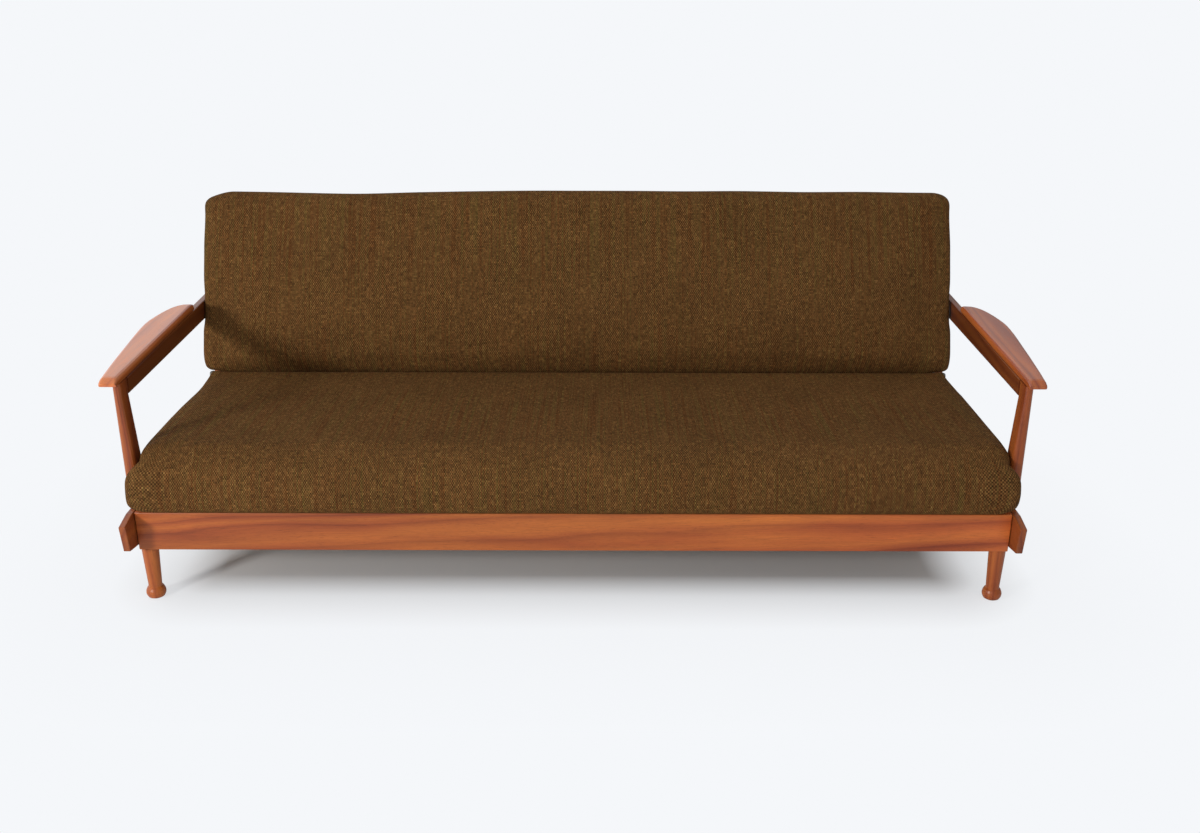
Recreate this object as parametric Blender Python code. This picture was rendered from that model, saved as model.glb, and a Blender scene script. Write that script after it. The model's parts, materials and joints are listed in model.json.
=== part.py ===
# Teak bed settee: two open side frames with leaf-shaped armrests, a seat that draws forward on
# grooved runners, and a back hinged to the seat that drops level with it to make a bed.
# Metres, +Z up, front towards -Y, floor at Z 0. Depths are measured back from the front-leg line.

import math

import bmesh
import bpy
from mathutils import Vector
from mathutils.geometry import tessellate_polygon

# Fits
FIT = 0.0003  # glued and screwed joints
RUN = 0.0012  # pieces that slide or turn past each other

# Legs, turned from the same pattern front and rear
LEG_HEIGHT = 0.124
LEG_TOP_R = 0.0185
LEG_WAIST_R = 0.0147
FOOT_R = 0.0215
FOOT_PAD_R = 0.0145
FOOT_H = 0.026
TURNED_SIDES = 24

# Seat frame
RAIL_H = 0.0895
RAIL_T = 0.022
SEAT_RAIL_H = 0.0415
SEAT_DEPTH = 0.543  # where the back's face meets the seat's top
SEAT_TRAVEL = 0.300
LEG_BLOCK = 0.0547
WEB_T = 0.0022
STRAP_W = 0.050
DECK_Z = LEG_HEIGHT + RAIL_H

# Seat cushion
SEAT_PAD_H = 0.131
SEAT_CROWN = 0.005
SEAT_OVERHANG = 0.047
PAD_SIDE_R = 0.022
CORNER_BULGE = 0.028
SEAT_PAD_Z = DECK_Z + WEB_T + 2 * FIT
SEAT_TOP = SEAT_PAD_Z + SEAT_PAD_H

# Back
BACK_LEAN = math.radians(19.0)
BACK_PAD_T = 0.100
BACK_PAD_LENGTH = 0.4630
BACK_CROWN = 0.004
BACK_BULGE = 0.0055  # the front of the cushion swells past its sides, most low down
TOP_CORNER_W = 0.053  # the back's top corners are rounded off over this width
TOP_CORNER_H = 0.030
BACK_FRAME_T = 0.020
BACK_STILE_W = 0.0373
BACK_RAIL_W = 0.040
PANEL_T = 0.003
HINGE_DROP = 0.014  # pin below the seat's top
RISE = math.pi / 2 - BACK_LEAN
HINGE_Y = SEAT_DEPTH + HINGE_DROP * (1 - math.cos(RISE)) / math.sin(RISE)
HINGE_Z = SEAT_TOP - HINGE_DROP
PAD_FOOT = HINGE_Y - SEAT_DEPTH + 0.0010
PAD_TOP = PAD_FOOT + BACK_PAD_LENGTH
FRAME_FOOT = PAD_FOOT + 0.0190
FRAME_TOP = PAD_TOP - 0.012
PAD_REAR = BACK_PAD_T - HINGE_DROP
FRAME_FRONT = PAD_REAR + WEB_T + 2 * FIT
FRAME_REAR = FRAME_FRONT + BACK_FRAME_T
PANEL_REAR = FRAME_REAR + FIT + PANEL_T

# Side frames
INNER_HALF = 0.9535  # inside face of a side board from the centre line
BOARD_T = 0.015
BOARD_H = 0.080
NOSE = 0.072
NOSE_H = 0.062
NOSE_RUN = 0.048
POST_Y = 0.0375
POST_D = 0.046
POST_OUT = 0.0213
POST_TOP_IN = -0.0028  # inward of the side board's inside face
POST_FOOT_IN = 0.0115
POST_ROUND = 0.009
ARM_Z = 0.4594  # underside of the arm rail at the front-leg line
ARM_RAIL_H = 0.0357
ARM_LOW_RISE = 0.0136  # slope of the arm rail's underside
ARM_RISE = 0.0298  # slope of the joint under the armrest
ARM_OUT = 0.003  # inside face of the arm rail beyond that of the side board
ARMREST_T = 0.0155
TAIL = 0.035
CROSS_RAIL_W = 0.050
CROSS_RAIL_H = 0.024

# Slide and back-drop hardware
PLATE_T = 0.003
CAM_T = 0.0027
RUNNER_W = 0.0117
RUNNER_H = 0.045
GROOVE_H = 0.012
GROOVE_D = 0.0085
GUIDE_LENGTH = 0.240
PIN_R = 0.004
STUD_R = 0.004
STUD_DROP = 0.020  # stud below the hinge pin, along the back
STUD_SLACK = 0.0005
STOP_GAP = 0.004
STOP_X = 0.600
STOP_W = 0.040
HINGE_EYE = 0.0095
HINGE_FOOT = 0.098
SWING_EYE = 0.0085
SWING_W = 0.015
SWING_LENGTH = 0.140

# Planes across the width
CAM_IN = INNER_HALF - FIT - CAM_T
RUNNER_OUT = CAM_IN - FIT
RUNNER_IN = RUNNER_OUT - RUNNER_W
HINGE_OUT = RUNNER_IN - RUN
HINGE_IN = HINGE_OUT - PLATE_T
SEAT_HALF = HINGE_IN - FIT
PAD_HALF = SEAT_HALF - 0.001
SWING_IN = HINGE_OUT + RUN / 2
SWING_OUT = SWING_IN + PLATE_T
BACK_HALF = SWING_IN - FIT
BACK_PAD_HALF = CAM_IN - 0.001

# Planes along the depth
RAIL_FRONT = -LEG_TOP_R - 0.0005
RAIL_BACK = RAIL_FRONT + RAIL_T
SEAT_REAR_RAIL = SEAT_DEPTH - 0.038
REAR_RAIL_Y = HINGE_Y - SEAT_TRAVEL + FRAME_TOP - 0.005
REAR_POST_Y = REAR_RAIL_Y - RAIL_T / 2
BLOCK_FRONT = REAR_RAIL_Y - RAIL_T - FIT - 0.066
STOP_Y = SEAT_REAR_RAIL - SEAT_TRAVEL - STOP_GAP
BOARD_END = REAR_POST_Y + 0.045
REACH = HINGE_Y + FRAME_TOP * math.cos(RISE) + PANEL_REAR * math.sin(RISE)
FRONT_LEG_Y = -(REACH - NOSE) / 2

# Armrest seen from above: depth, overhang beyond the side board's inside face, thickness share
ARMREST_PLAN = (
    (-0.0040, 0.0370, 0.34),
    (-0.0028, 0.0402, 0.42),
    (0.0020, 0.0424, 0.58),
    (0.0125, 0.0436, 0.92),
    (0.0190, 0.0441, 0.99),
    (0.0500, 0.0477, 1.0),
    (0.0900, 0.0522, 1.0),
    (0.1300, 0.0562, 1.0),
    (0.1700, 0.0602, 1.0),
    (0.2100, 0.0638, 1.0),
    (0.2500, 0.0674, 1.0),
    (0.2900, 0.0711, 1.0),
    (0.3200, 0.0736, 1.0),
    (0.3500, 0.0753, 1.0),
    (0.3750, 0.0760, 1.0),
    (0.4000, 0.0747, 1.0),
    (0.4300, 0.0707, 1.0),
    (0.4550, 0.0662, 1.0),
    (0.4800, 0.0602, 1.0),
    (0.5000, 0.0533, 1.0),
    (0.5140, 0.0450, 0.98),
    (0.5240, 0.0345, 0.92),
    (0.5280, 0.0220, 0.84),
    (0.5290, 0.0120, 0.76),
)


def depth(d):
    """Y of a plane this far behind the front-leg line."""
    return FRONT_LEG_Y + d


def on_side(side):
    """Places a side view (depth, height) at a distance from the centre line."""
    return lambda d, z, x: Vector((side * x, depth(d), z))


def across(side):
    """Places a cross-section (across, height) at a depth, on one side."""
    return lambda x, z, d: Vector((side * x, depth(d), z))


def on_back(u, n, x):
    """Places a point of the reclined back: u up along it, n rearward from the hinge pin, x across."""
    d = HINGE_Y + u * math.cos(RISE) + n * math.sin(RISE)
    z = HINGE_Z + u * math.sin(RISE) - n * math.cos(RISE)
    return Vector((x, depth(d), z))


def on_back_side(side):
    """The same on one side of the back, with x counted outward."""
    return lambda u, n, x: on_back(u, n, side * x)


def on_back_face(u, x, n):
    """Places a front view of the back (up, across) at a distance behind the pin."""
    return on_back(u, n, x)


def level(d, x, z):
    """Places a plan view (depth, across) at a height."""
    return Vector((x, depth(d), z))


def finish_for(name, colour, roughness):
    finish = bpy.data.materials.new(name)
    finish.use_nodes = True
    shader = finish.node_tree.nodes["Principled BSDF"]
    shader.inputs["Base Color"].default_value = (*colour, 1.0)
    shader.inputs["Roughness"].default_value = roughness
    return finish


def solid(name, points, faces, stuff, soften=0.0, smooth_angle=35.0):
    """One closed body, its faces turned outward, with its long edges eased by the given width."""
    colour, roughness = stuff
    mesh = bpy.data.meshes.new(name)
    mesh.from_pydata([tuple(p) for p in points], [], faces)
    work = bmesh.new()
    work.from_mesh(mesh)
    bmesh.ops.recalc_face_normals(work, faces=work.faces)
    work.to_mesh(mesh)
    work.free()
    mesh.shade_smooth()
    mesh.set_sharp_from_angle(angle=math.radians(smooth_angle))
    mesh.materials.append(finish_for(name + "_finish", colour, roughness))
    obj = bpy.data.objects.new(name, mesh)
    bpy.context.scene.collection.objects.link(obj)
    if soften:
        ease = obj.modifiers.new("eased_edges", "BEVEL")
        ease.width = soften
        ease.segments = 2
        ease.limit_method = "ANGLE"
        ease.angle_limit = math.radians(50.0)
        ease.harden_normals = False
    return obj


def extruded(name, outline, t0, t1, place, stuff, holes=(), soften=0.0):
    """A flat outline with any holes, given thickness between t0 and t1."""
    loops = [list(outline)] + [list(hole) for hole in holes]
    flat = [[Vector((p, q, 0.0)) for p, q in loop] for loop in loops]
    corners = [corner for loop in loops for corner in loop]
    count = len(corners)
    points = [place(p, q, t0) for p, q in corners] + [place(p, q, t1) for p, q in corners]
    if holes:
        caps = [tuple(tri) for tri in tessellate_polygon(flat)]
    else:
        caps = [tuple(range(count))]
    faces = [tuple(reversed(cap)) for cap in caps]
    faces += [tuple(i + count for i in cap) for cap in caps]
    start = 0
    for loop in loops:
        size = len(loop)
        for i in range(size):
            a = start + i
            b = start + (i + 1) % size
            faces.append((a, b, b + count, a + count))
        start += size
    return solid(name, points, faces, stuff, soften)


def lofted(name, rings, stuff, soften=0.0, smooth_angle=35.0, ladder=False):
    """A skin over matching closed rings, capped at both ends, by rungs across the ring if ladder is set."""
    size = len(rings[0])
    points = [p for ring in rings for p in ring]
    cap = [tuple(range(size))]
    if ladder:
        cap = [(i, i + 1, size - 2 - i, size - 1 - i) for i in range(size // 2 - 1)]
    last = (len(rings) - 1) * size
    faces = list(cap) + [tuple(last + i for i in reversed(face)) for face in cap]
    for r in range(len(rings) - 1):
        for i in range(size):
            a = r * size + i
            b = r * size + (i + 1) % size
            faces.append((a, b, b + size, a + size))
    return solid(name, points, faces, stuff, soften, smooth_angle)


def box(name, xs, ds, zs, stuff, soften=0.0015):
    outline = ((ds[0], zs[0]), (ds[1], zs[0]), (ds[1], zs[1]), (ds[0], zs[1]))
    return extruded(name, outline, xs[0], xs[1], on_side(1), stuff, soften=soften)


def sided(side, near, far):
    """The pair of x values of a piece on one side, in rising order."""
    return tuple(sorted((side * near, side * far)))


def back_board(name, xs, us, ns, stuff, soften=0.0015):
    outline = ((us[0], ns[0]), (us[1], ns[0]), (us[1], ns[1]), (us[0], ns[1]))
    return extruded(name, outline, xs[0], xs[1], on_back, stuff, soften=soften)


def circle(centre, radius, count=16):
    steps = [2 * math.pi * i / count for i in range(count)]
    return [(centre[0] + radius * math.cos(a), centre[1] + radius * math.sin(a)) for a in steps]


def rounded_ring(a0, a1, b0, b1, radii, steps=3):
    """A rectangle with its own radius at each corner: low-low, high-low, high-high, low-high."""
    spots = (
        (a0, b0, 1, 1, math.pi),
        (a1, b0, -1, 1, 1.5 * math.pi),
        (a1, b1, -1, -1, 0.0),
        (a0, b1, 1, -1, 0.5 * math.pi),
    )
    ring = []
    for (a, b, sa, sb, start), radius in zip(spots, radii):
        for k in range(steps + 1):
            turn = start + 0.5 * math.pi * k / steps
            p = a + sa * radius + radius * math.cos(turn)
            q = b + sb * radius + radius * math.sin(turn)
            ring.append((p, q))
    return ring


def turned(name, centre, axis_place, profile, stuff, sides=TURNED_SIDES):
    """A lathe form: profile rows of (radius, distance along the axis)."""
    rings = []
    for radius, along in profile:
        rings.append([axis_place(p, q, along) for p, q in circle(centre, radius, sides)])
    return lofted(name, rings, stuff)


TEAK = ((0.40, 0.15, 0.055), 0.42)
BEECH = ((0.62, 0.42, 0.24), 0.55)
COVER = ((0.085, 0.052, 0.022), 0.95)
RUBBER = ((0.045, 0.035, 0.028), 0.80)
STEEL = ((0.33, 0.33, 0.34), 0.38)
BOARD = ((0.17, 0.11, 0.07), 0.85)


def leg(name, x, d):
    """Tapered leg on a flattened ball foot."""
    neck = FOOT_H + 0.004
    profile = (
        (FOOT_PAD_R, 0.0),
        (0.5 * (FOOT_PAD_R + FOOT_R), 0.08 * FOOT_H),
        (0.96 * FOOT_R, 0.28 * FOOT_H),
        (FOOT_R, 0.48 * FOOT_H),
        (0.95 * FOOT_R, 0.70 * FOOT_H),
        (0.5 * (FOOT_R + LEG_WAIST_R), 0.90 * FOOT_H),
        (1.02 * LEG_WAIST_R, FOOT_H),
        (LEG_WAIST_R, neck),
        (LEG_TOP_R, LEG_HEIGHT - FIT),
    )
    return turned(name, (x, depth(d)), lambda p, q, z: Vector((p, q, z)), profile, TEAK)


def side_board(side, tag):
    """Long board of a side frame, drawn in to a blunt nose at each end."""
    top = DECK_Z
    low = top - BOARD_H
    lead = 0.010  # the nose leans back towards its foot
    drop = BOARD_H - NOSE_H
    outline = (
        (-NOSE, top - 0.55 * drop),
        (-NOSE + lead, low + 0.45 * drop),
        (-NOSE + NOSE_RUN + lead, low),
        (BOARD_END - NOSE_RUN - lead, low),
        (BOARD_END - lead, low + 0.45 * drop),
        (BOARD_END, top - 0.55 * drop),
        (BOARD_END - NOSE_RUN, top),
        (-NOSE + NOSE_RUN, top),
    )
    xs = (INNER_HALF, INNER_HALF + BOARD_T)
    return extruded("side_board_" + tag, outline, xs[0], xs[1], on_side(side), TEAK, soften=0.002)


def arm_joint_z(d):
    """Height of the arm rail's top, where the armrest is glued on."""
    return ARM_Z + ARM_RAIL_H + ARM_RISE * d


def arm_low_z(d):
    """Height of the arm rail's underside."""
    return ARM_Z + ARM_LOW_RISE * d


def front_post(side, tag):
    """Arm post: upright outside, thickening inward to its foot on the side board."""
    place = on_side(side)
    front = POST_Y - POST_D / 2
    rise = ARM_Z - DECK_Z
    rings = []
    for share in (0.0, 0.30, 0.65, 1.0):
        inner = INNER_HALF - POST_FOOT_IN + share * (POST_FOOT_IN - POST_TOP_IN)
        plan = rounded_ring(inner, INNER_HALF + POST_OUT, front, front + POST_D, [POST_ROUND] * 4)
        rings.append([place(d, DECK_Z + FIT + share * rise, x) for x, d in plan])
    rings.append([place(d, arm_joint_z(d) - FIT, x) for x, d in plan])
    return lofted("arm_post_" + tag, rings, TEAK)


def rear_post(side, tag):
    place = on_side(side)
    front = REAR_POST_Y - POST_D / 2
    xs = (INNER_HALF + FIT, INNER_HALF + POST_OUT)
    plan = rounded_ring(xs[0], xs[1], front, front + POST_D, [0.8 * POST_ROUND] * 4)
    rings = [[place(d, DECK_Z + FIT, x) for x, d in plan]]
    rings.append([place(d, arm_low_z(d) - FIT, x) for x, d in plan])
    return lofted("rear_post_" + tag, rings, TEAK)


def arm_rail(side, tag):
    """Rail under the armrest: from the front post back over the rear post to a rounded tail."""
    place = on_side(side)
    start = POST_Y + POST_D / 2 + FIT
    end = REAR_POST_Y + TAIL
    stations = (
        (start, 0.0),
        (0.5 * (start + end), 0.0),
        (end - 0.006, 0.0),
        (end - 0.0015, 0.0025),
        (end, 0.006),
    )
    rings = []
    for d, shrink in stations:
        ring = rounded_ring(
            INNER_HALF + ARM_OUT + shrink,
            INNER_HALF + POST_OUT - shrink,
            arm_low_z(d) + shrink,
            arm_joint_z(d) - shrink,
            (0.003, 0.007, 0.004, 0.003),
        )
        rings.append([place(d, z, x) for x, z in ring])
    return lofted("arm_rail_" + tag, rings, TEAK)


def armrest(side, tag):
    """Leaf-shaped armrest: narrow at the front lip, widest two thirds back, rounded off behind."""
    place = on_side(side)
    inner = INNER_HALF + ARM_OUT + 0.0005
    rings = []
    for d, over, share in ARMREST_PLAN:
        thick = ARMREST_T * share
        low = arm_joint_z(d) + FIT + 0.18 * (ARMREST_T - thick)
        outer = INNER_HALF + over
        top_r = 0.55 * thick
        foot_r = 0.22 * thick
        ring = rounded_ring(inner, outer, low, low + thick, (foot_r, foot_r, top_r, top_r))
        span = outer - inner
        crowned = []
        for x, z in ring:
            share_x = (x - inner) / span
            crown = 0.0018 * math.sin(math.pi * share_x) if z > low + 0.6 * thick else 0.0
            crowned.append(place(d, z + crown, x))
        rings.append(crowned)
    return lofted("armrest_" + tag, rings, TEAK, smooth_angle=50.0)


def runner(side, tag):
    """Hardwood runner on the side board, grooved along its inside face for the seat's guide."""
    top = DECK_Z - 0.0085
    low = top - RUNNER_H
    mid = 0.5 * (low + top)
    deep = RUNNER_IN + GROOVE_D
    section = (
        (RUNNER_IN, low),
        (RUNNER_OUT, low),
        (RUNNER_OUT, top),
        (RUNNER_IN, top),
        (RUNNER_IN, mid + GROOVE_H / 2),
        (deep, mid + GROOVE_H / 2),
        (deep, mid - GROOVE_H / 2),
        (RUNNER_IN, mid - GROOVE_H / 2),
    )
    start = RAIL_BACK + LEG_BLOCK + 0.004
    return extruded("seat_runner_" + tag, section, start, BLOCK_FRONT - FIT, across(side), BEECH)


def stud_track(steps=28):
    """Path of the back's stud over the side frame as the seat draws out and the back drops."""
    rear = 0.5 * (FRAME_FRONT + FRAME_REAR)
    path = []
    for i in range(steps + 1):
        share = i / steps
        angle = RISE * (1 - share)
        d = HINGE_Y - SEAT_TRAVEL * share - STUD_DROP * math.cos(angle) + rear * math.sin(angle)
        z = HINGE_Z - STUD_DROP * math.sin(angle) - rear * math.cos(angle)
        path.append((d, z))
    return path


def slot_round(path, half):
    """A slot of this half width along the path, with rounded ends."""
    upper = []
    lower = []
    for i, (d, z) in enumerate(path):
        a = path[max(i - 1, 0)]
        b = path[min(i + 1, len(path) - 1)]
        run = math.hypot(b[0] - a[0], b[1] - a[1])
        along = ((b[0] - a[0]) / run, (b[1] - a[1]) / run)
        upper.append((d + along[1] * half, z - along[0] * half))
        lower.append((d - along[1] * half, z + along[0] * half))
    tips = []
    for point, before in ((path[-1], path[-2]), (path[0], path[1])):
        heading = math.atan2(point[1] - before[1], point[0] - before[0])
        turns = [heading + math.pi * (k / 6 - 0.5) for k in range(1, 6)]
        tips.append([(point[0] + half * math.cos(t), point[1] + half * math.sin(t)) for t in turns])
    return upper + tips[0] + lower[::-1] + tips[1]


def cam_plate(side, tag):
    """Steel plate on the side board; its curved slot steers the back down as the seat draws out."""
    path = stud_track()
    half = STUD_R + STUD_SLACK
    wall = 0.012
    slot = slot_round(path, half)
    crest = [(d, z + half + wall) for d, z in path[::3]]
    front = path[-1][0] - half - wall
    rear = path[0][0] + half + wall
    low = DECK_Z - 0.0435
    above_block = DECK_Z - 0.006
    step = min(BLOCK_FRONT - 0.003, rear - 0.02)
    outline = [(front, low), (step, low), (step, above_block), (rear, above_block), (rear, crest[0][1])]
    outline += crest
    outline += [(front, path[-1][1] + half + wall)]
    name = "cam_plate_" + tag
    return extruded(name, outline, CAM_IN, CAM_IN + CAM_T, on_side(side), STEEL, holes=[slot])


def rear_leg_block(side, tag):
    xs = sided(side, RUNNER_IN - 0.034, INNER_HALF - FIT)
    ds = (BLOCK_FRONT, REAR_RAIL_Y - RAIL_T - FIT)
    return box("rear_leg_block_" + tag, xs, ds, (LEG_HEIGHT, DECK_Z - 0.0085), BEECH)


def pull_stop(side, tag):
    top = DECK_Z - SEAT_RAIL_H + 0.023
    low = DECK_Z - BOARD_H + 0.001 + CROSS_RAIL_H + FIT
    xs = sided(side, STOP_X - STOP_W / 2, STOP_X + STOP_W / 2)
    return box("pull_stop_" + tag, xs, (STOP_Y - 0.025, STOP_Y), (low, top), BEECH)


def side_frames():
    for side, tag in ((-1, "L"), (1, "R")):
        side_board(side, tag)
        front_post(side, tag)
        rear_post(side, tag)
        arm_rail(side, tag)
        armrest(side, tag)
        runner(side, tag)
        cam_plate(side, tag)
        rear_leg_block(side, tag)
        leg("rear_leg_" + tag, side * (RUNNER_IN - 0.008), BLOCK_FRONT + 0.033)
        pull_stop(side, tag)


def cross_rails():
    reach = INNER_HALF - FIT
    low = DECK_Z - BOARD_H + 0.001
    ds = (STOP_Y - CROSS_RAIL_W, STOP_Y)
    box("front_cross_rail", (-reach, reach), ds, (low, low + CROSS_RAIL_H), BEECH)
    top = HINGE_Z - PANEL_REAR - 0.002
    ds = (REAR_RAIL_Y - RAIL_T, REAR_RAIL_Y)
    box("rear_cross_rail", (-reach, reach), ds, (low, top), TEAK, soften=0.002)


def seat_frame():
    low = DECK_Z - SEAT_RAIL_H
    half = INNER_HALF - RUN
    box("seat_front_rail", (-half, half), (RAIL_FRONT, RAIL_BACK), (LEG_HEIGHT, DECK_Z), TEAK, soften=0.002)
    inner = SEAT_HALF - RAIL_T
    start = RAIL_BACK + FIT
    for side, tag in ((-1, "L"), (1, "R")):
        xs = sided(side, inner, SEAT_HALF)
        box("seat_side_rail_" + tag, xs, (start, SEAT_DEPTH - 0.011), (low, DECK_Z), BEECH)
        xs = sided(side, SEAT_HALF - 0.029, INNER_HALF - 2 * RUN)
        box("front_leg_block_" + tag, xs, (start, start + LEG_BLOCK), (LEG_HEIGHT, low - FIT), BEECH)
        leg("front_leg_" + tag, side * (INNER_HALF - 0.018), 0.0)
        mid = DECK_Z - 0.0085 - RUNNER_H / 2
        tall = GROOVE_H / 2 - RUN
        end = HINGE_Y - 0.113
        xs = sided(side, SEAT_HALF + FIT, RUNNER_IN + GROOVE_D - RUN)
        ds = (end - GUIDE_LENGTH, end)
        box("seat_guide_" + tag, xs, ds, (mid - tall, mid + tall), BEECH, soften=0.0008)
        hinge_plate(side, tag)
        hinge_pin(side, tag)
    reach = inner - FIT
    box("seat_rear_rail", (-reach, reach), (SEAT_REAR_RAIL, SEAT_REAR_RAIL + RAIL_T), (low, DECK_Z), BEECH)
    box("seat_centre_bearer", (-RAIL_T, RAIL_T), (start, SEAT_REAR_RAIL - FIT), (low, DECK_Z), BEECH)


def hinge_plate(side, tag):
    """Steel upstand screwed to the seat's side rail, carrying the pin the back turns on."""
    low = DECK_Z - SEAT_RAIL_H + 0.004
    top = DECK_Z - 0.001
    heel = HINGE_Y - HINGE_FOOT
    outline = [(heel, low), (heel + 0.82 * HINGE_FOOT, low)]
    outline += [(HINGE_Y + HINGE_EYE, low + 0.47 * (HINGE_Z - low))]
    outline += circle((HINGE_Y, HINGE_Z), HINGE_EYE)[:9]
    outline += [(HINGE_Y - HINGE_EYE, top + 0.40 * (HINGE_Z - top))]
    outline += [(heel + 0.61 * HINGE_FOOT, top), (heel, top)]
    hole = circle((HINGE_Y, HINGE_Z), PIN_R + FIT)
    return extruded("hinge_plate_" + tag, outline, HINGE_IN, HINGE_OUT, on_side(side), STEEL, holes=[hole])


def hinge_pin(side, tag):
    head = 1.75 * PIN_R
    profile = (
        (head, HINGE_IN - FIT - 0.0022),
        (head, HINGE_IN - FIT),
        (PIN_R, HINGE_IN - FIT),
        (PIN_R, SWING_OUT + RUN / 2),
        (head, SWING_OUT + RUN / 2),
        (head, SWING_OUT + RUN / 2 + 0.0018),
    )
    return turned("hinge_pin_" + tag, (HINGE_Y, HINGE_Z), on_side(side), profile, STEEL, sides=16)


def net(name, long_span, cross_span, cross_at, pitch, t0, t1, place):
    """Crossed straps sewn into one net: holes are the gaps between them."""
    half = STRAP_W / 2
    columns = int(round((cross_span[1] - cross_span[0] - STRAP_W) / pitch))
    step = (cross_span[1] - cross_span[0] - STRAP_W) / columns
    lines = [cross_span[0] + half + i * step for i in range(columns + 1)]
    rows = [long_span[0] + half] + list(cross_at) + [long_span[1] - half]
    holes = []
    for a, b in zip(lines, lines[1:]):
        for c, d in zip(rows, rows[1:]):
            near = c + half
            far = d - half
            holes.append(((near, a + half), (far, a + half), (far, b - half), (near, b - half)))
    outline = (
        (long_span[0], cross_span[0]),
        (long_span[1], cross_span[0]),
        (long_span[1], cross_span[1]),
        (long_span[0], cross_span[1]),
    )
    return extruded(name, outline, t0, t1, place, RUBBER, holes=holes)


def pad(name, half, rows, inset, place, bulge, round_off=None):
    """A stuffed cushion: one cross-section, in rows of (along, low, high), drawn in at both ends."""
    ring = [(p, low) for p, low, high in rows] + [(p, high) for p, low, high in reversed(rows)]
    mid_p = 0.5 * (rows[0][0] + rows[-1][0])
    wide = 0.5 * (rows[-1][0] - rows[0][0])
    floor = min(low for p, low, high in rows)
    ceiling = max(high for p, low, high in rows)
    mid_q = 0.5 * (floor + ceiling)
    tall = 0.5 * (ceiling - floor)
    ends = [half * share for share in (0.0, 0.22, 0.44, 0.64, 0.80, 0.91)]
    ends += [half - PAD_SIDE_R * (1 - math.sin(turn)) for turn in (0.0, 0.45, 0.80, 1.10, 1.35)]
    ends.append(half)
    rings = []
    for x in [-x for x in reversed(ends[1:])] + ends:
        lift = min(1.0, max(0.0, (abs(x) - (half - PAD_SIDE_R)) / PAD_SIDE_R))
        draw = inset * (1 - math.sqrt(max(0.0, 1 - 0.92 * lift * lift)))
        points = []
        for p, q in ring:
            p = mid_p + (p - mid_p) * (1 - draw / wide)
            q = mid_q + (q - mid_q) * (1 - draw / tall)
            if round_off is not None:
                p -= round_off(abs(x)) * max(0.0, (p - mid_p) / wide)
            out = abs(x) + bulge(abs(x), p, q)
            points.append(place(p, q, math.copysign(out, x)))
        rings.append(points)
    return lofted(name, rings, COVER, smooth_angle=80.0, ladder=True)


def ease_in(value):
    value = min(1.0, max(0.0, value))
    return value * value * (3 - 2 * value)


def seat_cushion():
    """Bullnosed in front, swelling past the posts at its front corners, rolled round the hinge behind."""
    front = -SEAT_OVERHANG
    rear = SEAT_DEPTH - 0.002
    roll = PAD_FOOT - 0.0007
    reach = POST_Y - POST_D / 2 - 0.002
    crown = SEAT_CROWN / SEAT_PAD_H
    shares = (
        (front, 0.34, 0.55),
        (front + 0.004, 0.19, 0.69),
        (front + 0.011, 0.07, 0.80),
        (front + 0.021, 0.01, 0.88),
        (front + 0.035, 0.0, 0.94),
        (reach - 0.003, 0.0, 0.985),
        (front + 0.085, 0.0, 1.0 + 0.2 * crown),
        (0.12 * rear + 0.020, 0.0, 1.0 + 0.5 * crown),
        (0.27 * rear, 0.0, 1.0 + 0.9 * crown),
        (0.50 * rear, 0.0, 1.0 + crown),
        (0.75 * rear, 0.0, 1.0 + 0.7 * crown),
        (rear - 0.045, 0.0, 1.0),
        (rear, 0.0, 0.992),
    )
    rows = [(d, SEAT_PAD_Z + low * SEAT_PAD_H, SEAT_PAD_Z + high * SEAT_PAD_H) for d, low, high in shares]
    for turn, low in ((RISE, 0.0), (0.64 * RISE, 0.005), (0.30 * RISE, 0.03), (0.0, 0.08)):
        d = HINGE_Y + roll * math.cos(turn)
        rows.append((d, SEAT_PAD_Z + low * SEAT_PAD_H, HINGE_Z + roll * math.sin(turn)))

    def bulge(x, d, z):
        return CORNER_BULGE * ease_in((reach - 0.004 - d) / 0.030) * ease_in((x - PAD_HALF + 0.07) / 0.06)

    return pad("seat_cushion", PAD_HALF, rows, 0.034, on_side(1), bulge)


def back_cushion():
    """Flat-fronted with a soft crown, rounded over its top and foot."""
    face = -HINGE_DROP
    thick = PAD_REAR - face
    crown = BACK_CROWN / thick
    shares = (
        (PAD_FOOT, 0.22, 0.78),
        (PAD_FOOT + 0.003, 0.10, 0.90),
        (PAD_FOOT + 0.009, 0.035, 0.965),
        (PAD_FOOT + 0.024, 0.0, 1.0),
        (PAD_FOOT + 0.20 * BACK_PAD_LENGTH, -0.7 * crown, 1.0),
        (PAD_FOOT + 0.45 * BACK_PAD_LENGTH, -crown, 1.0),
        (PAD_FOOT + 0.70 * BACK_PAD_LENGTH, -0.7 * crown, 1.0),
        (PAD_TOP - 0.050, 0.0, 1.0),
        (PAD_TOP - 0.026, 0.05, 0.985),
        (PAD_TOP - 0.011, 0.14, 0.93),
        (PAD_TOP - 0.003, 0.28, 0.82),
        (PAD_TOP, 0.42, 0.66),
    )
    rows = [(u, face + low * thick, face + high * thick) for u, low, high in shares]

    def bulge(x, u, n):
        low = ease_in((0.88 * PAD_TOP - u) / (0.45 * PAD_TOP))
        return BACK_BULGE * low * ease_in((0.034 - n) / 0.030) * ease_in((x - BACK_PAD_HALF + 0.07) / 0.06)

    def round_off(x):
        share = max(0.0, 1 - (BACK_PAD_HALF - x) / TOP_CORNER_W)
        return TOP_CORNER_H * (1 - math.sqrt(1 - 0.9 * share * share))

    return pad("back_cushion", BACK_PAD_HALF, rows, 0.030, on_back, bulge, round_off)


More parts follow.
